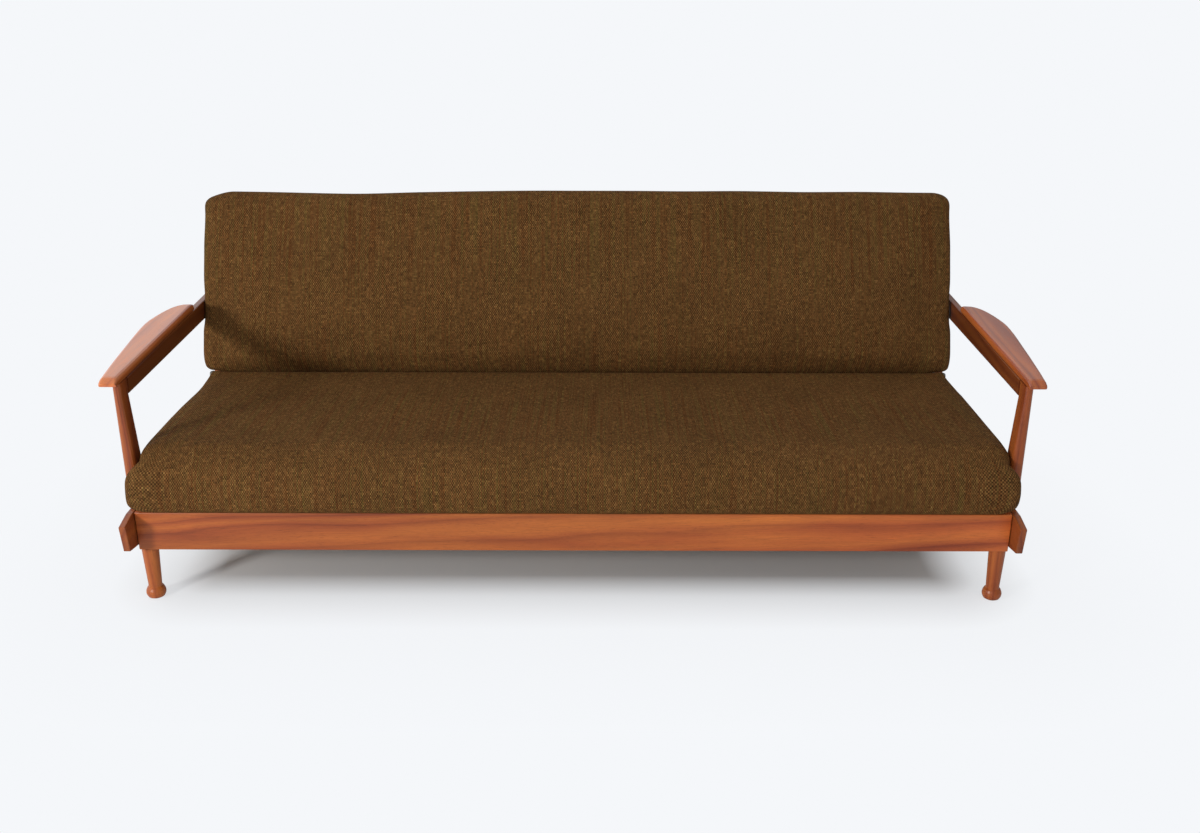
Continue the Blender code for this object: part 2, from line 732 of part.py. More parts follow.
def seat():
    seat_frame()
    reach = SEAT_HALF - 0.004
    z = DECK_Z + FIT
    span = (RAIL_FRONT + 0.007, SEAT_REAR_RAIL + RAIL_T - 0.003)
    middle = (span[0] + (span[1] - span[0]) * share for share in (0.36, 0.66))
    net("seat_webbing", span, (-reach, reach), middle, 0.150, z, z + WEB_T, level)
    seat_cushion()


def swing_arm(side, tag):
    """Steel arm on the back's stile: pin eye in front, stud for the cam slot behind."""
    rear = 0.5 * (FRAME_FRONT + FRAME_REAR)
    half = 0.5 * BACK_FRAME_T - 0.0005
    near = rear - half
    strap = 0.5 * SWING_W
    turns = [math.pi * k / 8 for k in range(9)]
    outline = [(strap, near - 0.004), (strap + 0.006, near)]
    outline += [(SWING_LENGTH, near), (SWING_LENGTH, rear + half)]
    outline += [(-STUD_DROP - half * math.sin(t), rear + half * math.cos(t)) for t in turns]
    outline += [(-strap, near - 0.020), (-strap, SWING_EYE)]
    outline += [(-SWING_EYE * math.cos(t), -SWING_EYE * math.sin(t)) for t in turns]
    outline += [(strap, SWING_EYE)]
    hole = circle((0.0, 0.0), PIN_R + STUD_SLACK)
    place = on_back_side(side)
    return extruded("swing_arm_" + tag, outline, SWING_IN, SWING_OUT, place, STEEL, holes=[hole])


def cam_stud(side, tag):
    rear = 0.5 * (FRAME_FRONT + FRAME_REAR)
    profile = (
        (1.6 * STUD_R, SWING_OUT + FIT),
        (1.6 * STUD_R, SWING_OUT + FIT + 0.002),
        (STUD_R, SWING_OUT + FIT + 0.002),
        (STUD_R, CAM_IN + CAM_T),
    )
    return turned("cam_stud_" + tag, (-STUD_DROP, rear), on_back_side(side), profile, STEEL, sides=16)


def back():
    inner = BACK_HALF - BACK_STILE_W
    ns = (FRAME_FRONT, FRAME_REAR)
    for side, tag in ((-1, "L"), (1, "R")):
        back_board("back_stile_" + tag, sided(side, inner, BACK_HALF), (FRAME_FOOT, FRAME_TOP), ns, BEECH)
        swing_arm(side, tag)
        cam_stud(side, tag)
    reach = inner - FIT
    back_board("back_bottom_rail", (-reach, reach), (FRAME_FOOT, FRAME_FOOT + BACK_RAIL_W), ns, BEECH)
    back_board("back_top_rail", (-reach, reach), (FRAME_TOP - BACK_RAIL_W, FRAME_TOP), ns, BEECH)
    us = (FRAME_FOOT + BACK_RAIL_W + FIT, FRAME_TOP - BACK_RAIL_W - FIT)
    back_board("back_centre_stile", (-RAIL_T, RAIL_T), us, ns, BEECH)
    wide = BACK_HALF - 0.004
    long_span = (FRAME_FOOT + 0.003, FRAME_TOP - 0.003)
    middle = [0.5 * (long_span[0] + long_span[1])]
    web = PAD_REAR + FIT
    net("back_webbing", long_span, (-wide, wide), middle, 0.150, web, web + WEB_T, on_back_face)
    back_cushion()
    panel = (FRAME_REAR + FIT, PANEL_REAR)
    back_board("back_panel", (-wide, wide), (FRAME_FOOT, FRAME_TOP), panel, BOARD, soften=0.0)


def main():
    for obj in list(bpy.data.objects):
        bpy.data.objects.remove(obj, do_unlink=True)
    bpy.context.scene.unit_settings.system = "METRIC"
    side_frames()
    cross_rails()
    seat()
    back()


main()
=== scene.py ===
# Teak bed settee: finishes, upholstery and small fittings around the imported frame.
# Metres, front towards -Y, +X to the viewer's right, Z up.

import json
import math

import bmesh
import bpy
from mathutils import Matrix, Vector, noise


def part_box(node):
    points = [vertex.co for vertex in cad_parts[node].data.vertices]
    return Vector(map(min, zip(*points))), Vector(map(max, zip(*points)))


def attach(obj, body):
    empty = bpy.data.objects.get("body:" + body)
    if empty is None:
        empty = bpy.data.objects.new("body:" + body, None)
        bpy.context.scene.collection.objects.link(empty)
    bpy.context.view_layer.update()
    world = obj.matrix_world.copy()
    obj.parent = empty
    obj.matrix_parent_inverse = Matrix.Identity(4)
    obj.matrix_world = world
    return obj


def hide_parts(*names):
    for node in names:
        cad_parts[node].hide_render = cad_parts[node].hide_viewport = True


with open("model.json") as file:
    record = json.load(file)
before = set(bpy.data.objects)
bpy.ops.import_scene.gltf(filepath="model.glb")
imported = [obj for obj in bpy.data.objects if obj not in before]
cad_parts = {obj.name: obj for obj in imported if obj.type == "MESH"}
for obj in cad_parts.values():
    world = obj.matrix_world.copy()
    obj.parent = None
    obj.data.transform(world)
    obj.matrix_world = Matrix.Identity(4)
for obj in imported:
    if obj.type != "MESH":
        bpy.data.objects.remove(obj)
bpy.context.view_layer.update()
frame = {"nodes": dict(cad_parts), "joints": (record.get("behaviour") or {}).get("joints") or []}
nodes = frame["nodes"]
scene = bpy.context.scene
hinge = Vector(next(j for j in frame["joints"] if j["name"] == "back_drop")["pos_m"])
legLine = sum(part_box("front_leg_L"), Vector()).y / 2  # depths below are measured back from here

photoView = {
    "place": (0.0556, -2.7759, 1.3581),
    "pitch": 21.0329,  # degrees down
    "yaw": 0.0337,
    "roll": 0.1581,
    "focal": 1218.3627,  # pixels, on an image this wide
    "imageWidth": 1200,
    "sensor": 36.0,
}


def addCamera():
    pitch, yaw, roll = (math.radians(photoView[k]) for k in ("pitch", "yaw", "roll"))
    level = math.cos(pitch)
    ahead = Vector((math.sin(yaw) * level, math.cos(yaw) * level, -math.sin(pitch)))
    right = Vector((math.cos(yaw), -math.sin(yaw), 0))
    up = right.cross(ahead)
    right, up = right * math.cos(roll) + up * math.sin(roll), up * math.cos(roll) - right * math.sin(roll)
    data = bpy.data.cameras.new("photoView")
    data.sensor_width = photoView["sensor"]
    data.lens = photoView["focal"] / photoView["imageWidth"] * photoView["sensor"]
    camera = bpy.data.objects.new("photoView", data)
    turn = Matrix((right, up, -ahead)).transposed().to_4x4()
    camera.matrix_world = Matrix.Translation(photoView["place"]) @ turn
    scene.collection.objects.link(camera)
    scene.camera = camera


addCamera()
print("camera placed")


def linear(hexText):  # sRGB hex to linear colour
    parts = [int(hexText[i:i + 2], 16) / 255 for i in (1, 3, 5)]
    return (*[c / 12.92 if c <= 0.04045 else ((c + 0.055) / 1.055) ** 2.4 for c in parts], 1.0)


def feed(tree, node, inputs):  # values, or links given as (node, output), into a node
    for name, value in inputs.items():
        if isinstance(value, tuple) and isinstance(value[0], bpy.types.Node):
            tree.links.new(value[0].outputs[value[1]], node.inputs[name])
        else:
            node.inputs[name].default_value = value


def put(tree, kind, settings=None, inputs=None):
    node = tree.nodes.new(kind)
    for name, value in (settings or {}).items():
        setattr(node, name, value)
    feed(tree, node, inputs or {})
    return node


# The helpers below each put one node and give back its (node, output), ready to be fed on.


def calc(tree, operation, *terms):
    return put(tree, "ShaderNodeMath", {"operation": operation}, dict(enumerate(terms))), "Value"


def calcVector(tree, operation, *terms):
    node = put(tree, "ShaderNodeVectorMath", {"operation": operation}, dict(enumerate(terms)))
    return node, "Value" if operation in ("LENGTH", "DOT_PRODUCT") else "Vector"


def scaled(tree, vector, amount):
    return put(tree, "ShaderNodeVectorMath", {"operation": "SCALE"}, {0: vector, "Scale": amount}), "Vector"


def cloudy(tree, vector, scale, detail, rough=0.5):
    return put(tree, "ShaderNodeTexNoise", None, {
        "Vector": vector, "Scale": scale, "Detail": detail, "Roughness": rough}), "Fac"


def mapped(tree, value, low, high, toLow, toHigh):  # one range onto another, held at its ends
    return put(tree, "ShaderNodeMapRange", None, {
        "Value": value, "From Min": low, "From Max": high, "To Min": toLow, "To Max": toHigh}), "Result"


def mixed(tree, share, first, second, blend="MIX"):  # colours
    settings = {"data_type": "RGBA", "blend_type": blend}
    return put(tree, "ShaderNodeMix", settings, {"Factor": share, 6: first, 7: second}), 2


def mixedValue(tree, share, first, second):
    return put(tree, "ShaderNodeMix", {"data_type": "FLOAT"}, {"Factor": share, 2: first, 3: second}), 0


def ramp(tree, value, stops):
    node = put(tree, "ShaderNodeValToRGB", None, {"Fac": value})
    elements = node.color_ramp.elements
    while len(elements) < len(stops):
        elements.new(0.5)
    for element, (at, colour) in zip(elements, stops):
        element.position = at
        element.color = linear(colour)
    return node, "Color"


def bumped(tree, strength, distance, height):
    return put(tree, "ShaderNodeBump", None, {
        "Strength": strength, "Distance": distance, "Height": height}), "Normal"


def newFinish(name):
    finish = bpy.data.materials.new(name)
    finish.use_nodes = True
    tree = finish.node_tree
    return finish, tree, tree.nodes["Principled BSDF"]


grainTurns = {"X": (0, 0, 0), "Y": (0, 0, -90), "Z": (0, 90, 0)}  # degrees that bring the grain to X


def grainSpace(tree, along):  # the piece's own coordinates, turned so that the grain runs along X
    spot = put(tree, "ShaderNodeTexCoord")
    return put(tree, "ShaderNodeMapping", None, {
        "Vector": (spot, "Object"), "Rotation": [math.radians(t) for t in grainTurns[along]]}), "Vector"


teakLook = {
    "light": "#bd6b2c",
    "warm": "#994a20",
    "dark": "#642610",
    "pore": "#3e170a",
    "year": ((0.0, "warm"), (0.35, "light"), (0.72, "warm"), (0.93, "dark"), (1.0, "warm")),
    "patch": ((0.30, "dark"), (0.52, "warm"), (0.72, "light")),  # broad changes of tone
    "yearShare": 0.38,  # how much the rings show over the patches
    "ring": 26.0,  # mm between growth rings, drawn wider than real ones
    "uneven": (0.37, 2.4),  # changes of spacing per ring, and their size in rings
    "slow": (1.6, 14.0, 14.0),  # waves per metre in the run of the grain, along and across
    "wander": 30.0,  # mm, how far the grain swings in such a wave
    "fibre": 1.8,  # mm, drawn coarser than real fibres so that they show
    "fibreLength": 55,  # times its width
    "streak": (0.85, 1.13),  # tone of the darkest and lightest fibres
    "poreWidth": 0.8,  # mm, drawn coarser too
    "poreLength": 22,  # times its width
    "poreDepth": 0.42,
    "rough": (0.33, 0.47),
    "ior": 1.45,
    "specular": 0.4,
    "coatRough": 0.32,
    "bump": (0.18, 0.0006),  # strength and height
}


def teak(name, along, pith, tilt, shade, figure=1.0, coat=0.08, drift=(0.0, 0.0)):
    # Plain-sawn teak, sanded and satin lacquered: golden to red-brown growth rings that run out into
    # cathedral figure, fine dark pores along the grain, and a soft broad sheen.
    # Pith is the board's place in the log in mm, tilt its slope to the grain in degrees, and drift the
    # change of tone along it, per metre and per metre squared.
    # Shade scales the whole tone; set low for the arm rails it is painted shade, set high for the armrests a
    # painted highlight.
    finish, tree, shader = newFinish(name)
    board = grainSpace(tree, along)
    log = put(tree, "ShaderNodeMapping", None, {
        "Vector": board,
        "Location": [p / 1000 for p in pith],
        "Rotation": (0, math.radians(tilt[0]), math.radians(tilt[1])),
    }), "Vector"
    slow = calcVector(tree, "MULTIPLY", log, teakLook["slow"])
    bend = cloudy(tree, slow, 1.0, 2.0)
    swing = teakLook["wander"] / 1000 * figure
    push = calcVector(tree, "MULTIPLY_ADD", (bend[0], "Color"), (0, swing, swing), log)
    radius = calcVector(tree, "LENGTH", calcVector(tree, "MULTIPLY", push, (0, 1, 1)))
    years = calc(tree, "MULTIPLY", radius, 1000 / teakLook["ring"])
    often, much = teakLook["uneven"]
    uneven = put(tree, "ShaderNodeTexNoise", {"noise_dimensions": "1D"}, {
        "W": years, "Scale": often, "Detail": 1.0}), "Fac"
    growth = calc(tree, "FRACT", calc(tree, "MULTIPLY_ADD", uneven, much, years))
    rings = ramp(tree, growth, [(at, teakLook[tone]) for at, tone in teakLook["year"]])
    patch = cloudy(tree, slow, 0.8, 3.0, 0.55)
    broad = ramp(tree, patch, [(at, teakLook[tone]) for at, tone in teakLook["patch"]])
    figured = mixed(tree, teakLook["yearShare"], broad, rings)
    thread = 1000 / teakLook["fibre"]
    threads = calcVector(tree, "MULTIPLY", push, (thread / teakLook["fibreLength"], thread, thread))
    fibre = cloudy(tree, threads, 1.0, 3.0, 0.6)
    streak = mapped(tree, fibre, 0.28, 0.72, *[tone * shade for tone in teakLook["streak"]])
    length = put(tree, "ShaderNodeSeparateXYZ", None, {"Vector": board})
    ends = calc(tree, "MULTIPLY_ADD", (length, "X"), drift[1], drift[0])
    paler = calc(tree, "MULTIPLY_ADD", (length, "X"), ends, 1.0)
    toned = scaled(tree, figured, calc(tree, "MULTIPLY", streak, paler))
    fine = 1000 / teakLook["poreWidth"]
    dashes = calcVector(tree, "MULTIPLY", push, (fine / teakLook["poreLength"], fine, fine))
    pore = mapped(tree, cloudy(tree, dashes, 1.0, 1.0), 0.60, 0.76, 0.0, teakLook["poreDepth"])
    height = calc(tree, "MULTIPLY_ADD", pore, -1.0, fibre)
    feed(tree, shader, {
        "Base Color": mixed(tree, pore, toned, linear(teakLook["pore"])),
        "Roughness": mapped(tree, fibre, 0.3, 0.7, *teakLook["rough"]),
        "IOR": teakLook["ior"],
        "Specular IOR Level": teakLook["specular"],
        "Coat Weight": coat,
        "Coat Roughness": teakLook["coatRough"],
        "Normal": bumped(tree, *teakLook["bump"], height),
    })
    return finish


finishes = {
    "frontRail": teak("teakFrontRail", "X", (300, 95, 62), (0.9, 1.3), 1.05, figure=1.5, drift=(0.28, 0.36)),
    "sideBoard": teak("teakSideBoard", "Y", (700, 60, 40), (1.5, 0.8), 0.76),
    "post": teak("teakPost", "Z", (150, 45, 30), (1.2, 2.0), 0.95),
    # The arm rails' low shade (0.50) is painted shade for their faces in the dark under the armrests.
    "armRail": teak("teakArmRailPaintedShade", "Y", (900, 50, 75), (0.6, 1.2), 0.50),
    # The armrests' high shade (1.32) is a painted highlight, standing in for the sheen on their lacquered
    # tops.
    "armrest": teak("teakArmrestPaintedHighlight", "Y", (1300, 70, 55), (1.8, 1.1), 1.32, figure=1.2, coat=0.55),
    "leg": teak("teakLeg", "Z", (420, 35, 22), (1.0, 1.4), 1.02),
    "rearRail": teak("teakRearRail", "X", (1700, 85, 80), (0.7, 1.0), 0.92),
}
print("teak ready")


beechLook = {
    "light": "#c9a87c",
    "dark": "#a98152",
    "fleck": "#80582f",
    "fibre": 1.8,  # mm
    "fibreStretch": (60, 4),  # drawn this many times longer and wider
    "fleckSize": 1.1,  # mm
    "fleckLength": 6,  # times its width
    "fleckDepth": 0.6,
    "rough": 0.52,
    "bump": (0.15, 0.0005),
}


def beech(name, along):
    # Planed beech, clear sealed: even pale pink-brown with short dark ray flecks and little figure.
    finish, tree, shader = newFinish(name)
    board = grainSpace(tree, along)
    thread = 1000 / beechLook["fibre"]
    longer, wider = beechLook["fibreStretch"]
    threads = calcVector(tree, "MULTIPLY", board, (thread / longer, thread / wider, thread / wider))
    fibre = cloudy(tree, threads, 1.0, 4.0, 0.6)
    ground = ramp(tree, fibre, [(0.32, beechLook["dark"]), (0.68, beechLook["light"])])
    size = 1000 / beechLook["fleckSize"]
    dashes = calcVector(tree, "MULTIPLY", board, (size / beechLook["fleckLength"], size, size))
    fleck = mapped(tree, cloudy(tree, dashes, 1.0, 0.0), 0.62, 0.72, 0.0, beechLook["fleckDepth"])
    feed(tree, shader, {
        "Base Color": mixed(tree, fleck, ground, linear(beechLook["fleck"])),
        "Roughness": beechLook["rough"],
        "Normal": bumped(tree, *beechLook["bump"], fibre),
    })
    return finish


finishes.update({"beech" + axis: beech("beech" + axis, axis) for axis in "XYZ"})


steelLook = {
    "bright": "#8d8a82",
    "dull": "#5a564f",
    "grain": 0.8,  # mm between drawn marks
    "drawn": 60,  # marks per metre along the drawing
    "spangle": 160.0,  # crystals per metre
    "spangleShare": 0.4,
    "rough": (0.38, 0.60),
}


def zincSteel(name):
    # Pressed steel, zinc plated and dulled with age: grey metal with a faint spangle and drawn marks.
    finish, tree, shader = newFinish(name)
    spot = put(tree, "ShaderNodeTexCoord"), "Object"
    across = 1000 / steelLook["grain"]
    mark = cloudy(tree, calcVector(tree, "MULTIPLY", spot, (across, steelLook["drawn"], across)), 1.0, 3.0)
    crystal = put(tree, "ShaderNodeTexVoronoi", None, {
        "Vector": spot, "Scale": steelLook["spangle"]}), "Distance"
    blend = mixedValue(tree, steelLook["spangleShare"], mark, crystal)
    feed(tree, shader, {
        "Base Color": ramp(tree, blend, [(0.25, steelLook["dull"]), (0.7, steelLook["bright"])]),
        "Metallic": 1.0,
        "Roughness": mapped(tree, blend, 0.0, 1.0, *steelLook["rough"]),
    })
    return finish


finishes["steel"] = zincSteel("zincPlatedSteel")


hardboardLook = {
    "light": "#8a6a4a",
    "dark": "#5d4229",
    "clump": 3.5,  # mm
    "cloud": 5.0,  # patches per metre
    "cloudShare": 0.35,
    "rough": 0.7,
    "bump": (0.2, 0.0006),
}


def hardboard(name):
    # Pressed wood fibre: flat brown sheet, mottled with short matted fibres.
    finish, tree, shader = newFinish(name)
    spot = put(tree, "ShaderNodeTexCoord"), "Object"
    matted = cloudy(tree, spot, 1000 / hardboardLook["clump"], 5.0, 0.7)
    cloud = cloudy(tree, spot, hardboardLook["cloud"], 3.0)
    both = calc(tree, "MULTIPLY_ADD", cloud, hardboardLook["cloudShare"], matted)
    feed(tree, shader, {
        "Base Color": ramp(tree, both, [(0.45, hardboardLook["dark"]), (0.9, hardboardLook["light"])]),
        "Roughness": hardboardLook["rough"],
        "Normal": bumped(tree, *hardboardLook["bump"], matted),
    })
    return finish


finishes["hardboard"] = hardboard("brownHardboard")


webLook = {
    "light": "#6b5a45",
    "dark": "#38302a",
    "rib": 2.5,  # mm
    # painted shade of the ribs: its share in the tone
    "ribShadeShare": 0.16,
    "dirt": 0.06,  # patches per rib
    "rough": 0.82,
    "bump": (0.4, 0.0004),
}


def rubberWeb(name):
    # Rubberised webbing: two fabric skins on a rubber core, ribbed on the slant, dull brown.
    finish, tree, shader = newFinish(name)
    weave = put(tree, "ShaderNodeUVMap", {"uv_map": "weave"}), "UV"
    cells = scaled(tree, weave, 1000 / webLook["rib"])
    part = put(tree, "ShaderNodeSeparateXYZ", None, {"Vector": cells})
    slant = calc(tree, "ADD", (part, "X"), (part, "Y"))
    rib = calc(tree, "SINE", calc(tree, "MULTIPLY", slant, math.pi))
    dirt = cloudy(tree, cells, webLook["dirt"], 4.0)
    # the tone is darker in the grooves between the ribs and lighter on their crests: painted shade, added to
    # the dirt patches
    tone = calc(tree, "MULTIPLY_ADD", rib, webLook["ribShadeShare"], dirt)
    feed(tree, shader, {
        "Base Color": ramp(tree, tone, [(0.25, webLook["dark"]), (0.8, webLook["light"])]),
        "Roughness": webLook["rough"],
        "Normal": bumped(tree, *webLook["bump"], rib),
    })
    return finish


finishes["web"] = rubberWeb("rubberWebbing")


tweedLook = {
    "pitch": (2.5, 4.0),  # mm between warp yarns and between weft yarns, drawn coarser so that they show
    "slub": 12.0,  # mm, how far a yarn keeps its tone
    "apart": 7.31,  # keeps the tones of neighbouring yarns apart
    "warp": [(0.30, "#563f24"), (0.44, "#6d502e"), (0.58, "#7d5b35"), (0.72, "#997445")],
    "weft": [(0.30, "#342312"), (0.45, "#453018"), (0.58, "#573b20"), (0.72, "#714c29")],
    "knot": 0.7,  # flecks per yarn
    "fleck": "#b08b54",
    "fleckDepth": 0.16,
    "pit": "#241a10",
    "pitDepth": 0.24,
    "streak": (3.8, 420.0),  # mm, width and length of the colour bands along the warp
    "dye": [(0.36, "#ffe4d2"), (0.50, "#fbf1ea"), (0.64, "#e2eed6")],  # hue of the bands
    "cloud": (6.0, 0.35),  # patches per metre, and their share in the tone
    "tone": (0.76, 1.1495),  # darkest and lightest bands
    "depth": (0.68, 1.11),  # painted shade between the yarns and painted light on top of them
    "rough": 0.92,
    "specular": 0.06,
    "sheen": (0.015, 0.6, "#b98a58"),  # weight, roughness and tint
    "bump": (0.5, 0.0008),
}


def tweed(name):
    # Woven wool tweed: slubby yarns in brown, olive, rust and ochre, with pale and dark flecks, with
    # painted shade in the gaps of the weave, in faint bands along the warp, with a dry, slightly hairy
    # surface.
    finish, tree, shader = newFinish(name)
    weave = put(tree, "ShaderNodeUVMap", {"uv_map": "weave"}), "UV"
    counts = [1000 / size for size in tweedLook["pitch"]]
    yarns = calcVector(tree, "MULTIPLY", weave, (*counts, 0))
    index = calcVector(tree, "FLOOR", yarns)
    inside = calcVector(tree, "FRACTION", yarns)
    number, within, where = (
        put(tree, "ShaderNodeSeparateXYZ", None, {"Vector": source}) for source in (index, inside, weave))
    over = calc(tree, "FLOORED_MODULO", calc(tree, "ADD", (number, "X"), (number, "Y")), 2.0)
    colours, humps = {}, {}
    for kind, lane, run, layer in (("warp", "X", "Y", 3.0), ("weft", "Y", "X", 9.0)):
        at = put(tree, "ShaderNodeCombineXYZ", None, {
            "X": calc(tree, "MULTIPLY", (number, lane), tweedLook["apart"]),
            "Y": calc(tree, "MULTIPLY", (where, run), 1000 / tweedLook["slub"]),
            "Z": layer,
        }), "Vector"
        colours[kind] = ramp(tree, cloudy(tree, at, 1.0, 2.0, 0.6), tweedLook[kind])
        humps[kind] = calc(tree, "SINE", calc(tree, "MULTIPLY", (within, lane), math.pi))
    yarn = mixed(tree, over, colours["warp"], colours["weft"])
    hump = mixedValue(tree, over, humps["warp"], humps["weft"])
    patch = calcVector(tree, "MULTIPLY", index, (tweedLook["knot"], tweedLook["knot"], 0))
    knot = calcVector(tree, "FLOOR", patch)
    chance = put(tree, "ShaderNodeTexWhiteNoise", {"noise_dimensions": "2D"}, {"Vector": knot}), "Value"
    pale = mapped(tree, chance, 0.80, 1.0, 0.0, tweedLook["fleckDepth"])
    deep = mapped(tree, chance, 0.20, 0.0, 0.0, tweedLook["pitDepth"])
    flecked = mixed(tree, pale, yarn, linear(tweedLook["fleck"]))
    pitted = mixed(tree, deep, flecked, linear(tweedLook["pit"]))
    wide, long = (1000 / size for size in tweedLook["streak"])
    streak = cloudy(tree, calcVector(tree, "MULTIPLY", weave, (wide, long, 0)), 1.0, 3.0, 0.65)
    dyed = mixed(tree, 1.0, pitted, ramp(tree, streak, tweedLook["dye"]), "MULTIPLY")
    often, much = tweedLook["cloud"]
    sway = calc(tree, "MULTIPLY_ADD", cloudy(tree, weave, often, 3.0), much, streak)
    tone = mapped(tree, sway, 0.49, 0.86, *tweedLook["tone"])
    # painted shade in the gaps between the yarns, and painted light on their tops
    depth = mapped(tree, hump, 0.0, 1.0, *tweedLook["depth"])
    sheen, sheenRough, sheenTint = tweedLook["sheen"]
    feed(tree, shader, {
        "Base Color": scaled(tree, dyed, calc(tree, "MULTIPLY", tone, depth)),
        "Roughness": tweedLook["rough"],
        "Specular IOR Level": tweedLook["specular"],
        "Sheen Weight": sheen,
        "Sheen Roughness": sheenRough,
        "Sheen Tint": linear(sheenTint),
        "Normal": bumped(tree, *tweedLook["bump"], hump),
    })
    return finish


finishes["tweed"] = tweed("brownTweed")
print("finishes ready:", len(finishes))

wearers = {  # the frame's pieces in each finish, with * for L and R
    "frontRail": ["seat_front_rail"],
    "rearRail": ["rear_cross_rail"],
    "sideBoard": ["side_board_*"],
    "post": ["arm_post_*", "rear_post_*"],
    "armRail": ["arm_rail_*"],
    "armrest": ["armrest_*"],
    "leg": ["front_leg_*", "rear_leg_*"],
    "beechX": ["front_cross_rail", "seat_rear_rail", "back_bottom_rail", "back_top_rail"],
    "beechY": ["seat_side_rail_*", "seat_guide_*", "seat_runner_*", "pull_stop_*", "seat_centre_bearer"],
    "beechZ": ["front_leg_block_*", "rear_leg_block_*", "back_stile_*", "back_centre_stile"],
    "steel": ["hinge_plate_*", "hinge_pin_*", "swing_arm_*", "cam_stud_*", "cam_plate_*"],
    "hardboard": ["back_panel"],
}
for finish, names in wearers.items():
    for name in sorted({name.replace("*", side) for name in names for side in "LR"}):
        nodes[name].data.materials.clear()
        nodes[name].data.materials.append(finishes[finish])
print("frame pieces dressed")


def newPiece(name, points, faces, finish, smooth):  # smooth up to this many degrees between faces
    mesh = bpy.data.meshes.new(name)
    mesh.from_pydata([tuple(p) for p in points], [], faces)
    work = bmesh.new()
    work.from_mesh(mesh)
    bmesh.ops.recalc_face_normals(work, faces=work.faces)
    work.to_mesh(mesh)
    work.free()
    mesh.shade_smooth()
    mesh.set_sharp_from_angle(angle=math.radians(smooth))
    mesh.materials.append(finishes[finish])
    piece = bpy.data.objects.new(name, mesh)
    scene.collection.objects.link(piece)
    return piece


def rise(t):  # 0 to 1, easing in and out
    t = min(1.0, max(0.0, t))
    return t * t * (3 - 2 * t)


def cushionSection(corners, crown, nAlong, nUp):
    # Closed outline in (along, up). Corners: low front, low rear, top rear, top front, each with its
    # two radii. Points run from the middle of one corner to the next, evenly spaced on each side.
    arcSteps = 24
    starts = (math.pi, 1.5 * math.pi, 0.0, 0.5 * math.pi)
    signs = ((1, 1), (-1, 1), (-1, -1), (1, -1))
    outline, marks = [], []
    for (p, q, rp, rq), start, (sp, sq) in zip(corners, starts, signs):
        for k in range(arcSteps + 1):
            turn = start + 0.5 * math.pi * k / arcSteps
            if k == arcSteps // 2:
                marks.append(len(outline))
            outline.append(Vector((p + sp * rp + rp * math.cos(turn), q + sq * rq + rq * math.sin(turn))))
    first, last = corners[3][0], corners[2][0]
    high = corners[3][1]
    mid = 0.5 * (corners[0][1] + high)
    for spot in outline:
        if spot.y > mid:
            share = min(1, max(0, (spot.x - first) / (last - first)))
            spot.y += crown * math.sin(math.pi * share) * (spot.y - mid) / (high - mid)
    outline = outline[marks[0]:] + outline[:marks[0]]
    marks = [m - marks[0] for m in marks] + [len(outline)]
    ring = []
    for a, b, count in zip(marks, marks[1:], (nAlong, nUp, nAlong, nUp)):
        run = [outline[i % len(outline)] for i in range(a, b + 1)]
        lengths = [0.0]
        for s, e in zip(run, run[1:]):
            lengths.append(lengths[-1] + (e - s).length)
        i = 0
        for k in range(count):
            want = lengths[-1] * k / count
            while lengths[i + 1] < want:
                i += 1
            ring.append(run[i].lerp(run[i + 1], (want - lengths[i]) / (lengths[i + 1] - lengths[i])))
    return ring


def inset(ring, depth, share):  # the outline drawn in by this much, times the share at each point
    drawn = []
    for i, spot in enumerate(ring):
        ahead = (ring[(i + 1) % len(ring)] - ring[i - 1]).normalized()
        drawn.append(spot + Vector((-ahead.y, ahead.x)) * depth * share(spot))
    return drawn


